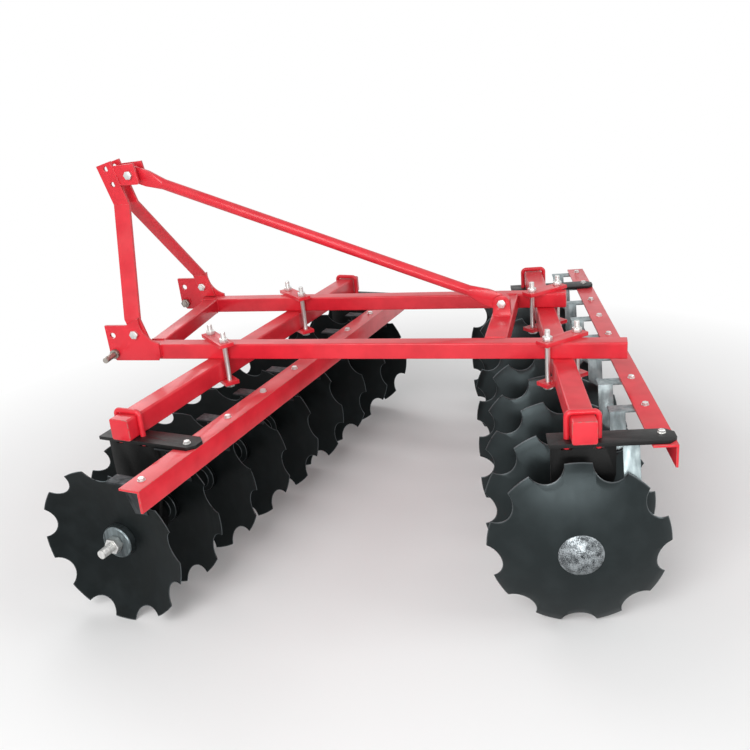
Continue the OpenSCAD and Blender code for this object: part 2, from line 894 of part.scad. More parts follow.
left_long_tube();
right_long_tube();
front_cross_tube();
rear_cross_tube();
left_hitch_plate();
right_hitch_plate();
left_link_pin();
right_link_pin();
left_mast_bar();
right_mast_bar();
mast_head_plates();
mast_foot_bolts();
brace_tube();
brace_bolts();
gang_beam(FRONT);  // front_gang_beam
clamp_strips(FRONT);  // front_clamp_strips
clamp_bolts(FRONT);  // front_clamp_bolts
u_bolts(FRONT);  // front_u_bolts
hangers(FRONT);  // front_hangers
scraper_angle(FRONT);  // front_scraper_angle
scrapers(FRONT);  // front_scrapers
axle(FRONT);  // front_axle
discs(FRONT);  // front_discs
spools(FRONT);  // front_spools
end_washer(FRONT);  // front_end_washer
axle_nut(FRONT);  // front_axle_nut
end_cap(FRONT);  // front_end_cap
gang_beam(REAR);  // rear_gang_beam
clamp_strips(REAR);  // rear_clamp_strips
clamp_bolts(REAR);  // rear_clamp_bolts
u_bolts(REAR);  // rear_u_bolts
hangers(REAR);  // rear_hangers
scraper_angle(REAR);  // rear_scraper_angle
scrapers(REAR);  // rear_scrapers
axle(REAR);  // rear_axle
discs(REAR);  // rear_discs
spools(REAR);  // rear_spools
end_washer(REAR);  // rear_end_washer
axle_nut(REAR);  // rear_axle_nut
end_cap(REAR);  // rear_end_cap
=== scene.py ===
import json
import math

import bmesh
import bpy
from mathutils import Matrix, Quaternion, Vector


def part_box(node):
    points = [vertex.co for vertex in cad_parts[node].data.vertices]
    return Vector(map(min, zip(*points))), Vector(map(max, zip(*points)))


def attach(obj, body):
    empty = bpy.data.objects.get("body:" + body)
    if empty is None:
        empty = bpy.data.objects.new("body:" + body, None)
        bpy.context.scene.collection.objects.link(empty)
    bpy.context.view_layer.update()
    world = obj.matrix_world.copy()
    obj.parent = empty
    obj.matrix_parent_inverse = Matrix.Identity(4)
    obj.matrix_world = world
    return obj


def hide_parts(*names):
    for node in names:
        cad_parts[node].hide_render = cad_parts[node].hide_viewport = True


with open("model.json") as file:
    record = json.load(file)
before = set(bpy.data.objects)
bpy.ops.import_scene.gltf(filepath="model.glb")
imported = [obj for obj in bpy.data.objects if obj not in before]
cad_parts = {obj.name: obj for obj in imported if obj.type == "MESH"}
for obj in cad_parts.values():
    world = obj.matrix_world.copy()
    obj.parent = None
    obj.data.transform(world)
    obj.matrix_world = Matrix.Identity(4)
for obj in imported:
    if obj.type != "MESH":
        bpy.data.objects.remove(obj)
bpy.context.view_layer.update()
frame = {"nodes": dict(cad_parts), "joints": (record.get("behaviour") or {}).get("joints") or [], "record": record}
scene = bpy.context.scene
print("frame loaded,", len(frame["nodes"]), "nodes")

# camera at the photo's view

cameraSetup = {
    "place": (-0.823, 3.246, 1.7915),
    "heading": 0.257,  # turned from looking straight across the machine, radians
    "pitch": 0.368,
    "roll": -0.09,
    "focalPixels": 889.35,
    "imagePixels": 750,
    "sensor": 36.0,
    "clipEnd": 100.0,
}


def addCamera(setup):
    data = bpy.data.cameras.new("photoCamera")
    data.sensor_width = setup["sensor"]
    data.lens = setup["sensor"] * setup["focalPixels"] / setup["imagePixels"]
    data.clip_end = setup["clipEnd"]
    camera = bpy.data.objects.new("photoCamera", data)
    flat = math.cos(setup["pitch"])
    look = Vector((math.sin(setup["heading"]) * flat, -math.cos(setup["heading"]) * flat,
                   -math.sin(setup["pitch"])))
    level = look.to_track_quat("-Z", "Y")
    camera.location = setup["place"]
    camera.rotation_mode = "QUATERNION"
    camera.rotation_quaternion = level @ Quaternion((0, 0, 1), setup["roll"])
    scene.collection.objects.link(camera)
    scene.camera = camera


addCamera(cameraSetup)
print("camera set")

# node helpers


def feedSocket(tree, socket, value):
    if isinstance(value, bpy.types.NodeSocket):
        tree.links.new(value, socket)
    elif socket.type == "RGBA":
        socket.default_value = (*value, 1.0)
    else:
        socket.default_value = value


def nodeMath(tree, operation, *values):
    node = tree.nodes.new("ShaderNodeMath")
    node.operation = operation
    for slot, value in enumerate(values):
        feedSocket(tree, node.inputs[slot], value)
    return node.outputs[0]


def nodeRamp(tree, value, low, high):  # 0 below low, 1 above high
    node = tree.nodes.new("ShaderNodeMapRange")
    for label, bound in (("Value", value), ("From Min", low), ("From Max", high)):
        feedSocket(tree, node.inputs[label], bound)
    return node.outputs["Result"]


def shaderNoise(tree, where, scale, detail, stretch=None):
    if stretch:
        mapping = tree.nodes.new("ShaderNodeMapping")
        mapping.inputs["Scale"].default_value = stretch
        tree.links.new(where, mapping.inputs["Vector"])
        where = mapping.outputs["Vector"]
    node = tree.nodes.new("ShaderNodeTexNoise")
    for label, value in (("Vector", where), ("Scale", scale), ("Detail", detail)):
        feedSocket(tree, node.inputs[label], value)
    return node.outputs["Fac"]


# shader groups shared by the finishes

effectSetup = {
    "chipDetail": 4.0,
    "chipFade": 0.8,  # a chip starts at this share of its full limit
    "chipEdge": (0.3, 0.9),
    "dustDetail": 5.0,
    "dustUpward": (0.1, 0.95),
    "dustPatch": (0.4, 0.72),
    "peelDetail": 2.0,
    "waveDetail": 3.0,
    "waveHeight": 0.8,  # against the peel's own height
    "grainDetail": 4.0,
    "grainStretch": (1.0, 1.0, 0.06),
    "blotchScale": 14.0,
}


def newGroup(name, inputs, outputs):
    tree = bpy.data.node_groups.new(name, "ShaderNodeTree")
    tree.interface.new_socket("Where", in_out="INPUT", socket_type="NodeSocketVector")
    for label, value in inputs.items():
        socket = tree.interface.new_socket(label, in_out="INPUT", socket_type="NodeSocketFloat")
        socket.default_value = value
    for label in outputs:
        tree.interface.new_socket(label, in_out="OUTPUT", socket_type="NodeSocketFloat")
    given = tree.nodes.new("NodeGroupInput").outputs
    return tree, given, tree.nodes.new("NodeGroupOutput").inputs


def buildEdgeChips(setup):
    tree, given, out = newGroup("edgeChips", {"Edge": 0.0, "Amount": 0.4, "Scale": 60.0}, ["Mask"])
    noise = shaderNoise(tree, given["Where"], given["Scale"], setup["chipDetail"])
    limit = nodeMath(tree, "SUBTRACT", 1.0, given["Amount"])
    broken = nodeRamp(tree, noise, nodeMath(tree, "MULTIPLY", limit, setup["chipFade"]), limit)
    edge = nodeRamp(tree, given["Edge"], *setup["chipEdge"])
    tree.links.new(nodeMath(tree, "MULTIPLY", broken, edge), out["Mask"])
    return tree


def buildSettledDust(setup):
    tree, given, out = newGroup("settledDust", {"Amount": 0.3, "Scale": 9.0}, ["Mask"])
    normal = tree.nodes.new("ShaderNodeNewGeometry")
    split = tree.nodes.new("ShaderNodeSeparateXYZ")
    tree.links.new(normal.outputs["Normal"], split.inputs[0])
    upward = nodeRamp(tree, split.outputs["Z"], *setup["dustUpward"])
    noise = shaderNoise(tree, given["Where"], given["Scale"], setup["dustDetail"])
    dust = nodeMath(tree, "MULTIPLY", upward, nodeRamp(tree, noise, *setup["dustPatch"]))
    tree.links.new(nodeMath(tree, "MULTIPLY", dust, given["Amount"]), out["Mask"])
    return tree


def buildSprayedSkin(setup):
    tree, given, out = newGroup("sprayedSkin", {"Peel Scale": 420.0, "Wave Scale": 22.0},
                                ["Height", "Cloud"])
    peel = shaderNoise(tree, given["Where"], given["Peel Scale"], setup["peelDetail"])
    cloud = shaderNoise(tree, given["Where"], given["Wave Scale"], setup["waveDetail"])
    tree.links.new(nodeMath(tree, "MULTIPLY_ADD", cloud, setup["waveHeight"], peel), out["Height"])
    tree.links.new(cloud, out["Cloud"])
    return tree


def buildRolledGrain(setup):
    tree, given, out = newGroup("rolledGrain", {"Scale": 90.0}, ["Grain", "Blotch"])
    detail = setup["grainDetail"]
    streak = shaderNoise(tree, given["Where"], given["Scale"], detail, setup["grainStretch"])
    blotch = shaderNoise(tree, given["Where"], setup["blotchScale"], detail)
    tree.links.new(streak, out["Grain"])
    tree.links.new(blotch, out["Blotch"])
    return tree


effects = {
    "edgeChips": buildEdgeChips(effectSetup),
    "settledDust": buildSettledDust(effectSetup),
    "sprayedSkin": buildSprayedSkin(effectSetup),
    "rolledGrain": buildRolledGrain(effectSetup),
}

# finishes


def newFinish(name):
    material = bpy.data.materials.new(name)
    material.use_nodes = True
    tree = material.node_tree
    where = tree.nodes.new("ShaderNodeTexCoord").outputs["Object"]
    return material, tree, tree.nodes["Principled BSDF"], where


def placeEffect(tree, name, where, **values):
    node = tree.nodes.new("ShaderNodeGroup")
    node.node_tree = effects[name]
    tree.links.new(where, node.inputs["Where"])
    for label, value in values.items():
        feedSocket(tree, node.inputs[label.replace("_", " ")], value)
    return node.outputs


def chipMask(tree, where, look):
    band = tree.nodes.new("ShaderNodeAttribute")
    band.attribute_name = "edgeBand"
    return placeEffect(tree, "edgeChips", where, Edge=band.outputs["Fac"],
                       Amount=look["chipShare"], Scale=look["chipScale"])["Mask"]


def dustMask(tree, where, look):
    return placeEffect(tree, "settledDust", where,
                       Amount=look["dustShare"], Scale=look["dustScale"])["Mask"]


def layColours(tree, shader, colour, *layers):
    for share, over in layers:
        node = tree.nodes.new("ShaderNodeMix")
        node.data_type = "RGBA"
        tree.links.new(share, node.inputs["Factor"])
        for label, value in (("A", colour), ("B", over)):
            socket = [s for s in node.inputs if s.name == label and s.type == "RGBA"][0]
            feedSocket(tree, socket, value)
        colour = [s for s in node.outputs if s.type == "RGBA"][0]
    tree.links.new(colour, shader.inputs["Base Color"])


def layRoughness(tree, shader, rough, *parts):
    for value, share in parts:
        rough = nodeMath(tree, "MULTIPLY_ADD", value, share, rough)
    tree.links.new(rough, shader.inputs["Roughness"])


def addBump(tree, shader, height, look):
    bump = tree.nodes.new("ShaderNodeBump")
    bump.inputs["Strength"].default_value = look["bump"]
    bump.inputs["Distance"].default_value = look["bumpDepth"]
    tree.links.new(height, bump.inputs["Height"])
    tree.links.new(bump.outputs["Normal"], shader.inputs["Normal"])


enamelLook = {
    "paint": (0.69, 0.021, 0.036),
    "shade": (0.56, 0.013, 0.025),
    "chip": (0.42, 0.10, 0.09),
    "dust": (0.50, 0.30, 0.27),
    "waveScale": 13.0,
    "cloudRange": (0.35, 0.75),
    "chipShare": 0.46,
    "chipScale": 75.0,
    "dustShare": 0.14,
    "dustScale": 7.0,
    "roughness": 0.30,
    "cloudRoughness": 0.12,
    "dustRoughness": 1.2,
    "specular": 0.28,
    "coat": 0.3,
    "coatRoughness": 0.12,
    "bump": 0.11,
    "bumpDepth": 0.0004,
}


def makeRedEnamel(look):
    material, tree, shader, where = newFinish("redEnamel")
    skin = placeEffect(tree, "sprayedSkin", where, Wave_Scale=look["waveScale"])
    chips = chipMask(tree, where, look)
    dust = dustMask(tree, where, look)
    cloud = nodeRamp(tree, skin["Cloud"], *look["cloudRange"])
    layColours(tree, shader, look["paint"], (cloud, look["shade"]), (chips, look["chip"]),
               (dust, look["dust"]))
    layRoughness(tree, shader, look["roughness"], (skin["Cloud"], look["cloudRoughness"]),
                 (dust, look["dustRoughness"]))
    shader.inputs["Specular IOR Level"].default_value = look["specular"]
    shader.inputs["Coat Weight"].default_value = look["coat"]
    shader.inputs["Coat Roughness"].default_value = look["coatRoughness"]
    addBump(tree, shader, skin["Height"], look)
    return material


discLook = {
    "steel": (0.0045, 0.0056, 0.0058),
    "haze": (0.0100, 0.0124, 0.0130),
    "ground": (0.10, 0.11, 0.115),
    "dust": (0.05, 0.048, 0.045),
    "tint": (0.78, 0.96, 1.0),
    "grainScale": 55.0,
    "hazeRange": (0.42, 0.78),
    "chipShare": 0.62,
    "chipScale": 40.0,
    "dustShare": 0.20,
    "dustScale": 11.0,
    "frontRoughness": 0.30,
    "frontSpecular": 0.12,
    "rearRoughness": 0.18,  # the rear discs turn their polished side to the camera
    "rearSpecular": 0.37,
    "blotchRoughness": 0.22,
    "grainRoughness": 0.10,
    "groundMetal": 0.8,
    "bump": 0.18,
    "bumpDepth": 0.0006,
}


def makeDiscBlack(look, gang):
    material, tree, shader, where = newFinish(gang + "DiscBlack")
    grain = placeEffect(tree, "rolledGrain", where, Scale=look["grainScale"])
    dust = dustMask(tree, where, look)
    ground = chipMask(tree, where, look)
    haze = nodeRamp(tree, grain["Blotch"], *look["hazeRange"])
    layColours(tree, shader, look["steel"], (haze, look["haze"]), (ground, look["ground"]),
               (dust, look["dust"]))
    layRoughness(tree, shader, look[gang + "Roughness"], (grain["Blotch"], look["blotchRoughness"]),
                 (grain["Grain"], look["grainRoughness"]))
    metal = nodeMath(tree, "MULTIPLY", ground, look["groundMetal"])
    tree.links.new(metal, shader.inputs["Metallic"])
    shader.inputs["Specular IOR Level"].default_value = look[gang + "Specular"]
    shader.inputs["Specular Tint"].default_value = (*look["tint"], 1.0)
    addBump(tree, shader, grain["Grain"], look)
    return material


hangerLook = {
    "paint": (0.0050, 0.0051, 0.0052),
    "worn": (0.027, 0.027, 0.027),
    "dust": (0.026, 0.025, 0.024),
    "peelScale": 230.0,
    "waveScale": 30.0,
    "chipShare": 0.5,
    "chipScale": 90.0,
    "dustShare": 0.25,
    "dustScale": 14.0,
    "roughness": 0.30,
    "cloudRoughness": 0.25,
    "specular": 0.26,
    "bump": 0.5,
    "bumpDepth": 0.0008,
}


def makeHangerBlack(look):
    material, tree, shader, where = newFinish("hangerBlack")
    skin = placeEffect(tree, "sprayedSkin", where, Peel_Scale=look["peelScale"],
                       Wave_Scale=look["waveScale"])
    layColours(tree, shader, look["paint"], (chipMask(tree, where, look), look["worn"]),
               (dustMask(tree, where, look), look["dust"]))
    layRoughness(tree, shader, look["roughness"], (skin["Cloud"], look["cloudRoughness"]))
    shader.inputs["Specular IOR Level"].default_value = look["specular"]
    addBump(tree, shader, skin["Height"], look)
    return material


metalWear = {
    "chipShare": 0.5,
    "chipScale": 80.0,
    "toneRange": (0.72, 1.28),
    "metallic": 0.9,
    "toneRoughness": 0.22,
    "bumpDepth": 0.0008,
}
metalLooks = {
    "zincPlate": {"bright": (0.76, 0.76, 0.74), "dull": (0.54, 0.54, 0.53),
                  "roughness": 0.30, "bump": 0.12, "grainScale": 120.0},
    "scraperSteel": {"bright": (0.36, 0.42, 0.43), "dull": (0.18, 0.22, 0.23),
                     "roughness": 0.36, "bump": 0.18, "grainScale": 70.0},
    # a darker copy of the scraper steel, used on the front scrapers
    "darkScraperSteel": {"bright": (0.075, 0.082, 0.088), "dull": (0.020, 0.023, 0.025),
                    "roughness": 0.46, "bump": 0.18, "grainScale": 70.0},
    "ringSteel": {"bright": (0.21, 0.25, 0.26), "dull": (0.055, 0.066, 0.070),
                  "roughness": 0.30, "bump": 0.15, "grainScale": 95.0},
    "wornSteel": {"bright": (0.50, 0.47, 0.43), "dull": (0.17, 0.14, 0.12),
                  "roughness": 0.34, "bump": 0.20, "grainScale": 110.0},
}


def makeMetal(name):
    look = {**metalWear, **metalLooks[name]}
    material, tree, shader, where = newFinish(name)
    grain = placeEffect(tree, "rolledGrain", where, Scale=look["grainScale"])
    both = nodeMath(tree, "ADD", grain["Blotch"], grain["Grain"])
    tone = nodeRamp(tree, both, *look["toneRange"])
    layColours(tree, shader, look["bright"], (tone, look["dull"]),
               (chipMask(tree, where, look), look["bright"]))
    layRoughness(tree, shader, look["roughness"], (tone, look["toneRoughness"]))
    shader.inputs["Metallic"].default_value = look["metallic"]
    addBump(tree, shader, grain["Grain"], look)
    return material


capLook = {
    "bright": (0.43, 0.47, 0.49),
    "dull": (0.040, 0.046, 0.050),
    "peelScale": 310.0,
    "waveScale": 48.0,
    "speckRange": (0.72, 1.12),
    "roughness": 0.18,
    "cloudRoughness": 0.3,
    "metallic": 0.85,
    "bump": 0.7,
    "bumpDepth": 0.0012,
}


def makeForgedCap(look):
    material, tree, shader, where = newFinish("forgedCap")
    skin = placeEffect(tree, "sprayedSkin", where, Peel_Scale=look["peelScale"],
                       Wave_Scale=look["waveScale"])
    speck = nodeRamp(tree, skin["Height"], *look["speckRange"])
    layColours(tree, shader, look["dull"], (speck, look["bright"]))
    layRoughness(tree, shader, look["roughness"], (skin["Cloud"], look["cloudRoughness"]))
    shader.inputs["Metallic"].default_value = look["metallic"]
    addBump(tree, shader, skin["Height"], look)
    return material


metals = {name: makeMetal(name) for name in metalLooks}
finishes = {
    "red_paint": makeRedEnamel(enamelLook),
    "disc_steel": makeDiscBlack(discLook, "front"),
    "black_paint": makeHangerBlack(hangerLook),
    "zinc": metals["zincPlate"],
    "cap_steel": makeForgedCap(capLook),
    "scraper_steel": metals["scraperSteel"],
}
ownFinish = {  # pieces whose finish differs from the rest of their slot
    "rear_disc_row": makeDiscBlack(discLook, "rear"),
    # the front scrapers take a darker copy of the scraper steel
    "front_scrapers_finish": metals["darkScraperSteel"],
    "front_end_washer_finish": metals["ringSteel"],
    "rear_end_washer_finish": metals["ringSteel"],
    "left_link_pin_finish": metals["wornSteel"],
    "right_link_pin_finish": metals["wornSteel"],
}
record = frame["record"]
slotOf = {row["node"]: row["material_slot"] for row in record["subparts"]}
bodyOf = {node: body for body, nodes in record["behaviour"]["bodies"].items() for node in nodes}
print("finishes made,", len(finishes), "slots")

# pieces over the solids, their sharp edges eased

mergeGap = 2e-5
edgeSetup = {
    "plainWidth": 0.0012,
    "sharpAngle": math.radians(32),
    "flatAngle": math.radians(0.5),
    "creaseAngle": math.radians(38),
    "segments": 2,
    "profile": 0.6,
}
edgeWidths = {  # by the end of the node's name
    "discs": None,  # made by their own rule below
    "long_tube": 0.0020,
    "gang_beam": 0.0024,
    "scraper_angle": 0.0016,
    "scrapers": 0.0009,
    "bolts": 0.0010,
    "spools": 0.0016,
    "hangers": 0.0018,
}


def edgeWidth(node):
    for ending, width in edgeWidths.items():
        if node.endswith(ending):
            return width
    return edgeSetup["plainWidth"]


def easedCopy(node, width):
    mesh = frame["nodes"][node].data.copy()
    mesh.name = node + "_eased"
    work = bmesh.new()
    work.from_mesh(mesh)
    bmesh.ops.remove_doubles(work, verts=work.verts, dist=mergeGap)
    bmesh.ops.dissolve_limit(work, angle_limit=edgeSetup["flatAngle"], verts=work.verts,
                             edges=work.edges)
    band = work.faces.layers.float.new("edgeBand")  # the paint chips along these faces
    sharp = [e for e in work.edges
             if len(e.link_faces) == 2 and e.calc_face_angle(0) > edgeSetup["sharpAngle"]]
    made = bmesh.ops.bevel(work, geom=sharp, offset=width, offset_type="OFFSET", affect="EDGES",
                           segments=edgeSetup["segments"], profile=edgeSetup["profile"],
                           clamp_overlap=True)
    for face in made["faces"]:
        face[band] = 1.0
    for face in work.faces:
        face.smooth = True
    work.to_mesh(mesh)
    work.free()
    mesh.set_sharp_from_angle(angle=edgeSetup["creaseAngle"])
    return mesh


def addPiece(name, mesh, slot, body, *nodes):
    piece = bpy.data.objects.new(name, mesh)
    scene.collection.objects.link(piece)
    mesh.materials.clear()
    mesh.materials.append(ownFinish.get(name, finishes[slot]))
    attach(piece, body)
    if nodes:
        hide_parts(*nodes)


for node in sorted(frame["nodes"]):
    width = edgeWidth(node)
    if width:
        addPiece(node + "_finish", easedCopy(node, width), slotOf[node], bodyOf[node], node)
print("edges eased")

# geometry node helpers


class NodeSheet:
    def __init__(self, name, numbers, counts=(), vectors=()):
        self.tree = bpy.data.node_groups.new(name, "GeometryNodeTree")
        sockets = self.tree.interface
        sockets.new_socket("Geometry", in_out="OUTPUT", socket_type="NodeSocketGeometry")
        for kind, labels in (("Geometry", ["Geometry"]), ("Float", numbers), ("Int", counts),
                             ("Vector", vectors), ("Material", ["Finish"])):
            for label in labels:
                sockets.new_socket(label, in_out="INPUT", socket_type="NodeSocket" + kind)
        self.given = self.tree.nodes.new("NodeGroupInput").outputs
        self.out = self.tree.nodes.new("NodeGroupOutput").inputs

    def add(self, kind, settings=None, **values):
        node = self.tree.nodes.new(kind)
        for label, value in (settings or {}).items():
            setattr(node, label, value)
        for label, value in values.items():
            feedSocket(self.tree, node.inputs[label.replace("_", " ")], value)
        return node

    def calc(self, operation, *values):
        return nodeMath(self.tree, operation, *values)

    def ramp(self, value, low, high):
        return nodeRamp(self.tree, value, low, high)

    def vector(self, x, y, z):
        return self.add("ShaderNodeCombineXYZ", X=x, Y=y, Z=z).outputs[0]

    def finish(self, geometry):
        real = self.add("GeometryNodeRealizeInstances", Geometry=geometry)
        dyed = self.add("GeometryNodeSetMaterial", Geometry=real.outputs[0],
                        Material=self.given["Finish"])
        self.tree.links.new(dyed.outputs[0], self.out["Geometry"])
        return self.tree


def grow(name, tree, points=(), edges=(), **values):
    seed = bpy.data.meshes.new(name + "_seed")
    seed.from_pydata([tuple(p) for p in points], list(edges), [])
    holder = bpy.data.objects.new(name + "_seed", seed)
    scene.collection.objects.link(holder)
    modifier = holder.modifiers.new(name, "NODES")
    modifier.node_group = tree
    sockets = {s.name: s.identifier for s in tree.interface.items_tree
               if s.item_type == "SOCKET" and s.in_out == "INPUT"}
    for label, value in values.items():
        modifier[sockets[label.replace("_", " ")]] = value
    shape = holder.evaluated_get(bpy.context.evaluated_depsgraph_get())
    mesh = bpy.data.meshes.new_from_object(shape)
    mesh.name = name
    holder.modifiers.clear()
    bpy.data.objects.remove(holder)
    return mesh


# the two gangs' own frames, +Y towards the nut end

gangLayout = {
    "count": 9,
    "pitch": 0.235,
    "axleHeight": 0.280,
    "scraperOffset": 0.130,
    "scraperBoltX": -0.252,
    "hangerY": 0.8225,
    "hangerHalf": 0.042,
    "hangerThick": 0.012,
    "webHalf": 0.008,
    "angleTop": 0.601,
}
gangs = {
    "front": {"joint": "front_gang_spin", "side": 1, "firstTurn": 0},
    "rear": {"joint": "rear_gang_spin", "side": -1, "firstTurn": 2},
}
jointOf = {joint["name"]: joint for joint in frame["joints"]}


def gangMatrix(gang):
    joint = jointOf[gang["joint"]]
    along = Vector(joint["axis"]).normalized()
    place = joint["pos_m"]
    return Matrix(((along.y, along.x * gang["side"], 0, place[0]),
                   (-along.x, along.y * gang["side"], 0, place[1]),
                   (0, 0, 1, 0), (0, 0, 0, 1)))


def toGang(mesh, gang):
    mesh.transform(gangMatrix(gang))
    if gang["side"] < 0:  # mirrored, so turned inside out
        mesh.flip_normals()
    return mesh


# notched dished discs

discShape = {
    "Radius": 0.280,
    "Dish_Radius": 0.660,
    "Seat_Radius": 0.070,
    "Eye_Radius": 0.026,
    "Thickness": 0.005,
    "Notch_Count": 9,
    "Notch_Radius": 0.060,
    "Notch_Centre": 0.297,
    "Ground_Width": 0.005,
    "Edge_Thickness": 0.0022,
}
discGrid = {"lobeSteps": 4, "notchSteps": 12, "ringSteps": 11, "notchSlack": 0.001, "crease": 0.5}


def buildDiscRow(grid):
    sheet = NodeSheet("discRow", [
        "Radius", "Dish Radius", "Seat Radius", "Eye Radius", "Thickness", "Notch Radius",
        "Notch Centre", "Ground Width", "Edge Thickness", "Pitch", "Axle Height"],
        ["Notch Count", "Disc Count", "First Turn"])
    given, calc, ramp = sheet.given, sheet.calc, sheet.ramp
    rim, notch, centre = given["Radius"], given["Notch Radius"], given["Notch Centre"]
    eye, thick = given["Eye Radius"], given["Thickness"]

    def square(value):
        return calc("MULTIPLY", value, value)

    across = 2 * grid["lobeSteps"] + grid["notchSteps"]
    lobeShare = grid["lobeSteps"] / across
    bandStart = (grid["ringSteps"] - 1) / grid["ringSteps"]
    flat = sheet.add("GeometryNodeMeshGrid", Size_X=1.0, Size_Y=1.0,
                     Vertices_X=across + 1, Vertices_Y=grid["ringSteps"] + 1)
    spot = sheet.add("GeometryNodeInputPosition").outputs[0]
    split = sheet.add("ShaderNodeSeparateXYZ", Vector=spot).outputs
    around, outward = calc("ADD", split["X"], 0.5), calc("ADD", split["Y"], 0.5)

    # one sector of the outline: half a lobe, a notch, half a lobe
    halfStep = calc("DIVIDE", math.pi, given["Notch Count"])
    squares = calc("SUBTRACT", calc("ADD", square(centre), square(rim)), square(notch))
    cornerCos = calc("DIVIDE", squares, calc("MULTIPLY", calc("MULTIPLY", centre, rim), 2.0))
    corner = calc("ARCCOSINE", cornerCos)
    notchDepth = calc("SUBTRACT", centre, calc("MULTIPLY", rim, cornerCos))
    notchTurn = calc("ARCCOSINE", calc("DIVIDE", notchDepth, notch))
    lobeHalf = calc("SUBTRACT", halfStep, corner)
    lowLobe = calc("MULTIPLY_ADD", ramp(around, 0.0, lobeShare), lobeHalf,
                   calc("MULTIPLY", halfStep, -1.0))
    highLobe = calc("MULTIPLY_ADD", ramp(around, 1 - lobeShare, 1.0), lobeHalf, corner)
    isHigh = calc("GREATER_THAN", around, 0.5)
    lobeTurn = calc("MULTIPLY_ADD", calc("SUBTRACT", highLobe, lowLobe), isHigh, lowLobe)
    inNotch = calc("LESS_THAN", calc("ABSOLUTE", calc("SUBTRACT", around, 0.5)),
                   0.5 - lobeShare - grid["notchSlack"])
    swing = calc("SUBTRACT", ramp(around, lobeShare, 1 - lobeShare), 0.5)
    swing = calc("MULTIPLY", calc("MULTIPLY", swing, 2.0), notchTurn)
    notchX = calc("SUBTRACT", centre, calc("MULTIPLY", notch, calc("COSINE", swing)))
    notchY = calc("MULTIPLY", notch, calc("SINE", swing))
    lobeX = calc("MULTIPLY", rim, calc("COSINE", lobeTurn))
    lobeY = calc("MULTIPLY", rim, calc("SINE", lobeTurn))
    edgeX = calc("MULTIPLY_ADD", calc("SUBTRACT", notchX, lobeX), inNotch, lobeX)
    edgeY = calc("MULTIPLY_ADD", calc("SUBTRACT", notchY, lobeY), inNotch, lobeY)

    # rings from the axle hole out to the outline, the last one the ground band
    reach = calc("SQRT", calc("ADD", square(edgeX), square(edgeY)))
    body = calc("SUBTRACT", calc("SUBTRACT", reach, given["Ground Width"]), eye)
    ring = calc("MULTIPLY_ADD", body, ramp(outward, 0.0, bandStart), eye)
    band = ramp(outward, bandStart, 1.0)
    ring = calc("MULTIPLY_ADD", band, given["Ground Width"], ring)
    scale = calc("DIVIDE", ring, reach)
    marked = sheet.add("GeometryNodeStoreNamedAttribute", {"data_type": "FLOAT", "domain": "POINT"},
                       Geometry=flat.outputs["Mesh"], Name="edgeBand", Value=band)
    place = sheet.vector(calc("MULTIPLY", edgeX, scale), calc("MULTIPLY", edgeY, scale), 0.0)
    sector = sheet.add("GeometryNodeSetPosition", Geometry=marked.outputs[0], Position=place)

    # sectors all round
    spokes = sheet.add("GeometryNodePoints", Count=given["Notch Count"])
    index = sheet.add("GeometryNodeInputIndex").outputs[0]
    aim = calc("MULTIPLY_ADD", index, calc("MULTIPLY", halfStep, 2.0),
               calc("ADD", halfStep, math.pi / 2))
    wheel = sheet.add("GeometryNodeInstanceOnPoints", Points=spokes.outputs[0],
                      Instance=sector.outputs[0], Rotation=sheet.vector(0.0, 0.0, aim))
    loose = sheet.add("GeometryNodeRealizeInstances", Geometry=wheel.outputs[0])
    joined = sheet.add("GeometryNodeMergeByDistance", Geometry=loose.outputs[0], Distance=mergeGap)
    plate = sheet.add("GeometryNodeFlipFaces", Mesh=joined.outputs[0])  # the sectors face down

    # dish the plate, hollow side up
    outer = calc("ADD", given["Dish Radius"], thick)
    ball = calc("SQRT", calc("SUBTRACT", square(outer), square(given["Seat Radius"])))
    there = sheet.add("ShaderNodeSeparateXYZ", Vector=spot).outputs
    radiusSquare = calc("ADD", square(there["X"]), square(there["Y"]))

    def dish(curve, least, rise=0.0):
        fall = calc("SQRT", calc("SUBTRACT", square(curve), radiusSquare))
        height = calc("MAXIMUM", calc("SUBTRACT", ball, fall), least)
        return sheet.vector(there["X"], there["Y"], calc("ADD", height, rise))

    bandHere = sheet.add("GeometryNodeInputNamedAttribute", {"data_type": "FLOAT"},
                         Name="edgeBand").outputs[0]
    ground = calc("MULTIPLY", bandHere, calc("SUBTRACT", thick, given["Edge Thickness"]))
    low = sheet.add("GeometryNodeSetPosition", Geometry=plate.outputs[0],
                    Position=dish(outer, 0.0, ground))
    raised = sheet.add("GeometryNodeExtrudeMesh", {"mode": "FACES"}, Mesh=low.outputs[0],
                       Individual=False, Offset=sheet.vector(0.0, 0.0, thick), Offset_Scale=1.0)
    high = sheet.add("GeometryNodeSetPosition", Geometry=raised.outputs["Mesh"],
                     Selection=raised.outputs["Top"], Position=dish(given["Dish Radius"], thick))
    under = sheet.add("GeometryNodeFlipFaces", Mesh=low.outputs[0])
    both = sheet.add("GeometryNodeJoinGeometry")
    for half in (high, under):
        sheet.tree.links.new(half.outputs[0], both.inputs[0])
    shell = sheet.add("GeometryNodeMergeByDistance", Geometry=both.outputs[0], Distance=mergeGap)
    smooth = sheet.add("GeometryNodeSetShadeSmooth", {"domain": "FACE"},
                       Geometry=shell.outputs[0], Shade_Smooth=True)
    bend = sheet.add("GeometryNodeInputMeshEdgeAngle").outputs["Unsigned Angle"]
    crisp = sheet.add("GeometryNodeSetShadeSmooth", {"domain": "EDGE"}, Geometry=smooth.outputs[0],
                      Selection=calc("GREATER_THAN", bend, grid["crease"]), Shade_Smooth=False)
    onAxle = sheet.add("GeometryNodeTransform", Geometry=crisp.outputs[0],
                       Rotation=(-math.pi / 2, 0.0, 0.0))

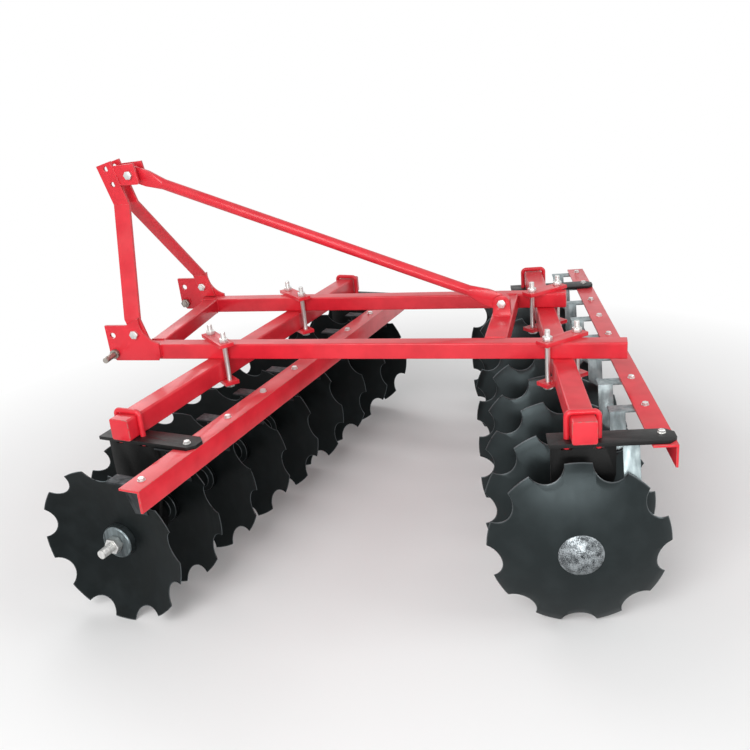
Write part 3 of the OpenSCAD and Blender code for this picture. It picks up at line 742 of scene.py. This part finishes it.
    # row along the axle, each disc a quarter turn on
    halfCount = calc("MULTIPLY", calc("SUBTRACT", given["Disc Count"], 1.0), 0.5)
    first = sheet.vector(0.0, calc("MULTIPLY", halfCount, given["Pitch"]), given["Axle Height"])
    step = sheet.vector(0.0, calc("MULTIPLY", given["Pitch"], -1.0), 0.0)
    row = sheet.add("GeometryNodeMeshLine", Count=given["Disc Count"], Start_Location=first,
                    Offset=step)
    quarter = calc("MULTIPLY", calc("ADD", index, given["First Turn"]), math.pi / 2)
    gang = sheet.add("GeometryNodeInstanceOnPoints", Points=row.outputs[0],
                     Instance=onAxle.outputs[0], Rotation=sheet.vector(0.0, quarter, 0.0))
    return sheet.finish(gang.outputs[0])


discRow = buildDiscRow(discGrid)
for name, gang in gangs.items():
    mesh = grow(name + "_disc_row", discRow, **discShape, Disc_Count=gangLayout["count"],
                Pitch=gangLayout["pitch"], First_Turn=gang["firstTurn"],
                Axle_Height=gangLayout["axleHeight"], Finish=finishes["disc_steel"])
    addPiece(name + "_disc_row", toGang(mesh, gang), "disc_steel", name + "_gang", name + "_discs")
    print(name, "discs", len(mesh.polygons), "faces")

# upright hexagon bolts with washers and nuts, on the scraper angles

boltShape = {
    "Head_Width": 0.019,
    "Head_Height": 0.008,
    "Washer_Radius": 0.0125,
    "Washer_Thickness": 0.0022,
    "Grip": 0.016,
    "Seed": 5,
}
boltShares = {
    "body": 0.8,  # of the head's height, the rest is the crown
    "crown": 0.2,
    "crownSeat": 0.98,
    "crownFoot": 0.985,  # of the hexagon
    "crownTop": 0.84,
    "thread": 0.55,
    "tail": 0.5,  # of the head's height, below the nut
    "washerSides": 20,
    "threadSides": 12,
}


def buildBolts(share):
    sheet = NodeSheet("uprightBolts", [
        "Head Width", "Head Height", "Washer Radius", "Washer Thickness", "Grip"], ["Seed"])
    given, calc = sheet.given, sheet.calc
    hexRadius = calc("DIVIDE", given["Head Width"], math.sqrt(3))
    washer, height = given["Washer Thickness"], given["Head Height"]
    parts = sheet.add("GeometryNodeJoinGeometry")

    def pillar(sides, radius, top, depth, baseZ):
        cone = sheet.add("GeometryNodeMeshCone", Vertices=sides, Radius_Bottom=radius,
                         Radius_Top=top, Depth=depth)
        moved = sheet.add("GeometryNodeTransform", Geometry=cone.outputs["Mesh"],
                          Translation=sheet.vector(0.0, 0.0, baseZ))
        sheet.tree.links.new(moved.outputs[0], parts.inputs[0])

    body = calc("MULTIPLY", height, share["body"])
    crown = calc("MULTIPLY", height, share["crown"])
    crownZ = calc("MULTIPLY", calc("ADD", washer, body), share["crownSeat"])
    nutZ = calc("MULTIPLY", calc("ADD", given["Grip"], body), -1.0)
    thread = calc("MULTIPLY", hexRadius, share["thread"])
    threadZ = calc("SUBTRACT", nutZ, calc("MULTIPLY", height, share["tail"]))
    pillar(share["washerSides"], given["Washer Radius"], given["Washer Radius"], washer, 0.0)
    pillar(6, hexRadius, hexRadius, body, washer)
    pillar(6, calc("MULTIPLY", hexRadius, share["crownFoot"]),
           calc("MULTIPLY", hexRadius, share["crownTop"]), crown, crownZ)
    pillar(6, hexRadius, hexRadius, body, nutZ)
    pillar(share["threadSides"], thread, thread, calc("ADD", given["Grip"], height), threadZ)
    turn = sheet.add("FunctionNodeRandomValue", {"data_type": "FLOAT"}, Seed=given["Seed"])
    drawn = [s for s in turn.outputs if s.type == "VALUE" and s.enabled][0]
    spin = sheet.vector(0.0, 0.0, calc("MULTIPLY", drawn, math.pi / 3))
    placed = sheet.add("GeometryNodeInstanceOnPoints", Points=given["Geometry"],
                       Instance=parts.outputs[0], Rotation=spin)
    return sheet.finish(placed.outputs[0])


def scraperBoltSpots(gang):
    spots = []
    for index in range(gangLayout["count"]):
        seatY = ((gangLayout["count"] - 1) / 2 - index) * gangLayout["pitch"]
        y = seatY + gangLayout["scraperOffset"]
        onPlate = abs(abs(y) - gangLayout["hangerY"]) < gangLayout["hangerHalf"]
        z = gangLayout["angleTop"] + (gangLayout["hangerThick"] if onPlate else 0.0)
        spots.append(gangMatrix(gang) @ Vector((gangLayout["scraperBoltX"], y, z)))
    return spots


uprightBolts = buildBolts(boltShares)
for name, gang in gangs.items():
    mesh = grow(name + "_scraper_bolts", uprightBolts, scraperBoltSpots(gang), **boltShape,
                Finish=finishes["zinc"])
    addPiece(name + "_scraper_bolts", mesh, "zinc", "frame")
print("scraper bolts set")

# screw threads as a ridge wound round a rod

threadSets = {
    "axle": {"Rod_Radius": 0.0146, "Pitch": 0.0034, "Length": 0.044, "Turn_Steps": 20},
    "clamp": {"Rod_Radius": 0.0087, "Pitch": 0.0027, "Length": 0.021, "Turn_Steps": 14},
}
ridgeSetup = {"sides": 4, "pitchShare": 0.42, "pastNutMiddle": 0.015}


def buildThread(ridge):
    sheet = NodeSheet("woundThread", ["Rod Radius", "Pitch", "Length"], ["Turn Steps"], ["Tilt"])
    given, calc = sheet.given, sheet.calc
    helix = sheet.add("GeometryNodeCurveSpiral", Resolution=given["Turn Steps"],
                      Rotations=calc("DIVIDE", given["Length"], given["Pitch"]),
                      Start_Radius=given["Rod Radius"], End_Radius=given["Rod Radius"],
                      Height=given["Length"])
    outline = sheet.add("GeometryNodeCurvePrimitiveCircle", {"mode": "RADIUS"},
                        Resolution=ridge["sides"],
                        Radius=calc("MULTIPLY", given["Pitch"], ridge["pitchShare"]))
    swept = sheet.add("GeometryNodeCurveToMesh", Curve=helix.outputs[0],
                      Profile_Curve=outline.outputs["Curve"], Fill_Caps=True)
    placed = sheet.add("GeometryNodeInstanceOnPoints", Points=given["Geometry"],
                       Instance=swept.outputs[0], Rotation=given["Tilt"])
    return sheet.finish(placed.outputs[0])


woundThread = buildThread(ridgeSetup)
for name, gang in gangs.items():
    low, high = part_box(name + "_axle_nut")
    axis = Vector(jointOf[gang["joint"]]["axis"]) * gang["side"]
    start = (low + high) / 2 + axis * ridgeSetup["pastNutMiddle"]
    tilt = tuple(axis.to_track_quat("Z", "Y").to_euler())
    mesh = grow(name + "_axle_thread", woundThread, [start], **threadSets["axle"], Tilt=tilt,
                Finish=finishes["zinc"])
    addPiece(name + "_axle_thread", mesh, "zinc", name + "_gang")

clampSetup = {
    "tubeY": 0.295,
    "besideTube": 0.047,
    "besideBeam": 0.0545,
    "beamX": -0.020,
    "nutTop": 0.778,
}


def clampSpots(gang):
    sine, cosine = jointOf[gang["joint"]]["axis"][:2]
    start = gangMatrix(gang) @ Vector((clampSetup["beamX"], 0, 0))
    run = (clampSetup["besideBeam"] - clampSetup["besideTube"] * abs(sine)) / cosine
    aside = math.copysign(clampSetup["besideTube"], sine)
    spots = []
    for side in (-1, 1):
        y = side * clampSetup["tubeY"]
        x = start.x + (y - start.y) * sine / cosine
        for end in (-1, 1):
            spots.append(Vector((x + end * run, y - end * aside, clampSetup["nutTop"])))
    return spots


for name, gang in gangs.items():
    mesh = grow(name + "_clamp_threads", woundThread, clampSpots(gang), **threadSets["clamp"],
                Tilt=(0, 0, 0), Finish=finishes["zinc"])
    addPiece(name + "_clamp_threads", mesh, "zinc", "frame")
print("threads wound")

# weld beads along the seams

weldShape = {"Bead_Radius": 0.0042, "Step": 0.0025, "Ripple": 0.0075, "Swell": 0.16}
weldSetup = {"sides": 8, "leastWidth": 0.9, "jitterScale": 60.0}


def buildWeld(setup):
    sheet = NodeSheet("weldBead", ["Bead Radius", "Step", "Ripple", "Swell"])
    given, calc = sheet.given, sheet.calc
    seam = sheet.add("GeometryNodeMeshToCurve", Mesh=given["Geometry"])
    fine = sheet.add("GeometryNodeResampleCurve", {"mode": "LENGTH"}, Curve=seam.outputs[0],
                     Length=given["Step"])
    along = sheet.add("GeometryNodeSplineParameter").outputs["Length"]
    wave = calc("SINE", calc("MULTIPLY", calc("DIVIDE", along, given["Ripple"]), 2 * math.pi))
    jitter = sheet.add("ShaderNodeTexNoise", Scale=setup["jitterScale"]).outputs["Fac"]
    width = calc("MULTIPLY_ADD", calc("ADD", wave, jitter), given["Swell"], setup["leastWidth"])
    fat = sheet.add("GeometryNodeSetCurveRadius", Curve=fine.outputs[0], Radius=width)
    ring = sheet.add("GeometryNodeCurvePrimitiveCircle", {"mode": "RADIUS"},
                     Resolution=setup["sides"], Radius=given["Bead Radius"])
    bead = sheet.add("GeometryNodeCurveToMesh", Curve=fat.outputs[0],
                     Profile_Curve=ring.outputs["Curve"], Fill_Caps=True)
    soft = sheet.add("GeometryNodeSetShadeSmooth", {"domain": "FACE"}, Geometry=bead.outputs[0],
                     Shade_Smooth=True)
    return sheet.finish(soft.outputs[0])


def seamLines(runs):
    points, edges = [], []
    for run in runs:
        first = len(points)
        points += [Vector(p) for p in run]
        edges += [(first + k, first + k + 1) for k in range(len(run) - 1)]
    return points, edges


frameSeamSetup = {
    "tubeInset": 0.006,  # a bead stops this far from the tube's corners
    "tubeBite": 0.001,
    "plateInset": 0.004,
    "plateToe": 0.014,  # clear of the plate's cut corner
    "mastClear": 0.068,
    "earInset": 0.010,
    "mastFootX": 0.846,
    "mastLean": 0.294,
    "mastWidth": 0.060,
    "headHeights": (1.312, 1.384),
    "headFaces": (0.041, -0.041),
    "rearEarFaces": (0.0193, -0.0193),
}


def frameSeams(setup):
    runs = []
    tubeLow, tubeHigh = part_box("left_long_tube")
    bottom, top, front = tubeLow.z, tubeHigh.z, tubeHigh.x
    inset, toe, bare = setup["tubeInset"], setup["plateToe"], setup["plateInset"]
    for cross in ("front_cross_tube", "rear_cross_tube"):
        low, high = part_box(cross)
        for side in (-1, 1):
            y = side * (high.y - setup["tubeBite"])
            runs.append([(low.x + inset, y, top), (high.x - inset, y, top)])
            runs.append([(low.x, y, bottom + inset), (low.x, y, top - inset)])
            runs.append([(high.x, y, bottom + inset), (high.x, y, top - inset)])
            runs.append([(low.x + inset, y, bottom), (high.x - inset, y, bottom)])
    for node, side in (("left_hitch_plate", 1), ("right_hitch_plate", -1)):
        low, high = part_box(node)
        inner = min(abs(low.y), abs(high.y)) * side
        runs.append([(low.x, inner, bottom + toe), (low.x, inner, top)])
        runs.append([(low.x + bare, inner, top), (front - setup["mastClear"], inner, top)])
        runs.append([(low.x + toe, inner, bottom), (front, inner, bottom)])
        runs.append([(front, inner, bottom + bare), (front, inner, top - bare)])
    lean = setup["mastLean"]
    mastEdge = setup["mastFootX"] - setup["mastWidth"] / 2 * math.sqrt(1 + lean * lean)
    for y in setup["headFaces"]:
        runs.append([(mastEdge + lean * (z - top), y, z) for z in setup["headHeights"]])
    low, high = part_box("rear_cross_tube")
    for y in setup["rearEarFaces"]:
        runs.append([(low.x + setup["earInset"], y, top), (high.x - setup["earInset"], y, top)])
    return runs


hangerSeamSetup = {
    "plateSpans": ((-0.117, -0.095), (-0.045, 0.005), (0.052, 0.075)),
    "hubRadius": 0.068,
    "hubSteps": 28,
}


def hangerSeams(gang, setup):
    matrix = gangMatrix(gang)
    radius, steps = setup["hubRadius"], setup["hubSteps"]
    turns = [2 * math.pi * k / steps for k in range(steps + 1)]
    runs = []
    for side in (-1, 1):
        for face in (-1, 1):
            y = side * gangLayout["hangerY"] + face * gangLayout["webHalf"]
            for span in setup["plateSpans"]:
                runs.append([matrix @ Vector((x, y, gangLayout["angleTop"])) for x in span])
            runs.append([matrix @ Vector((radius * math.cos(turn), y,
                                          gangLayout["axleHeight"] + radius * math.sin(turn)))
                         for turn in turns])
    return runs


weldBead = buildWeld(weldSetup)
points, edges = seamLines(frameSeams(frameSeamSetup))
mesh = grow("frame_welds", weldBead, points, edges, **weldShape, Finish=finishes["red_paint"])
addPiece("frame_welds", mesh, "red_paint", "frame")
for name, gang in gangs.items():
    points, edges = seamLines(hangerSeams(gang, hangerSeamSetup))
    mesh = grow(name + "_hanger_welds", weldBead, points, edges, **weldShape,
                Finish=finishes["black_paint"])
    addPiece(name + "_hanger_welds", mesh, "black_paint", "frame")
print("welds laid")

# plain pale floor, soft light

stageSetup = {
    "floorSize": 60.0,
    "floorColour": (0.86, 0.86, 0.86),
    "floorRoughness": 0.9,
    "floorSpecular": 0.1,
    "fadeFrom": 1.5,  # the floor runs out into plain white between these radii
    "fadeTo": 2.7,
    "ambient": 0.46,
    "lamps": [  # place, aim, width, height, watts
        ((0.9, 5.0, 3.8), (0.0, 0.0, 0.5), 3.0, 3.0, 170.0),
        ((-1.6, 6.4, 1.15), (-0.4, 0.0, 0.6), 4.2, 1.1, 130.0),  # low strip, mirrored by the discs
        ((-4.4, 0.8, 3.0), (0.0, 0.0, 0.4), 2.2, 2.2, 60.0),
        ((3.2, -3.0, 4.0), (0.0, 0.0, 0.5), 3.0, 3.0, 80.0),
    ],
}


def addFloor(setup):
    half = setup["floorSize"] / 2
    mesh = bpy.data.meshes.new("floor")
    corners = [(-half, -half, 0), (half, -half, 0), (half, half, 0), (-half, half, 0)]
    mesh.from_pydata(corners, [], [(0, 1, 2, 3)])
    floor = bpy.data.objects.new("floor", mesh)
    scene.collection.objects.link(floor)
    material, tree, shader, where = newFinish("paleFloor")
    shader.inputs["Base Color"].default_value = (*setup["floorColour"], 1.0)
    shader.inputs["Roughness"].default_value = setup["floorRoughness"]
    shader.inputs["Specular IOR Level"].default_value = setup["floorSpecular"]
    reach = tree.nodes.new("ShaderNodeVectorMath")
    reach.operation = "LENGTH"
    tree.links.new(where, reach.inputs[0])
    far = nodeRamp(tree, reach.outputs["Value"], setup["fadeFrom"], setup["fadeTo"])
    rays = tree.nodes.new("ShaderNodeLightPath").outputs
    seen = nodeMath(tree, "MAXIMUM", rays["Is Camera Ray"], rays["Is Glossy Ray"])
    white = tree.nodes.new("ShaderNodeEmission")
    blend = tree.nodes.new("ShaderNodeMixShader")
    tree.links.new(nodeMath(tree, "MULTIPLY", far, seen), blend.inputs[0])
    tree.links.new(shader.outputs[0], blend.inputs[1])
    tree.links.new(white.outputs[0], blend.inputs[2])
    tree.links.new(blend.outputs[0], tree.nodes["Material Output"].inputs["Surface"])
    mesh.materials.append(material)


def addWorld(setup):
    world = bpy.data.worlds.new("studio")
    world.use_nodes = True
    tree = world.node_tree
    background = tree.nodes["Background"]
    rays = tree.nodes.new("ShaderNodeLightPath").outputs
    seen = nodeMath(tree, "MAXIMUM", rays["Is Camera Ray"], rays["Is Glossy Ray"])
    seen = nodeMath(tree, "MAXIMUM", seen, rays["Is Transmission Ray"])
    level = nodeMath(tree, "MULTIPLY_ADD", seen, 1.0 - setup["ambient"], setup["ambient"])
    background.inputs["Color"].default_value = (1, 1, 1, 1)
    tree.links.new(level, background.inputs["Strength"])
    scene.world = world


def addLamps(setup):
    for number, (place, aim, width, height, watts) in enumerate(setup["lamps"]):
        data = bpy.data.lights.new(f"softbox{number}", "AREA")
        data.shape = "RECTANGLE"
        data.size = width
        data.size_y = height
        data.energy = watts
        lamp = bpy.data.objects.new(f"softbox{number}", data)
        lamp.location = place
        lamp.rotation_euler = (Vector(aim) - Vector(place)).to_track_quat("-Z", "Y").to_euler()
        scene.collection.objects.link(lamp)


addFloor(stageSetup)
addWorld(stageSetup)
addLamps(stageSetup)
scene.view_settings.view_transform = "Standard"
print("stage lit")

bpy.context.view_layer.update()
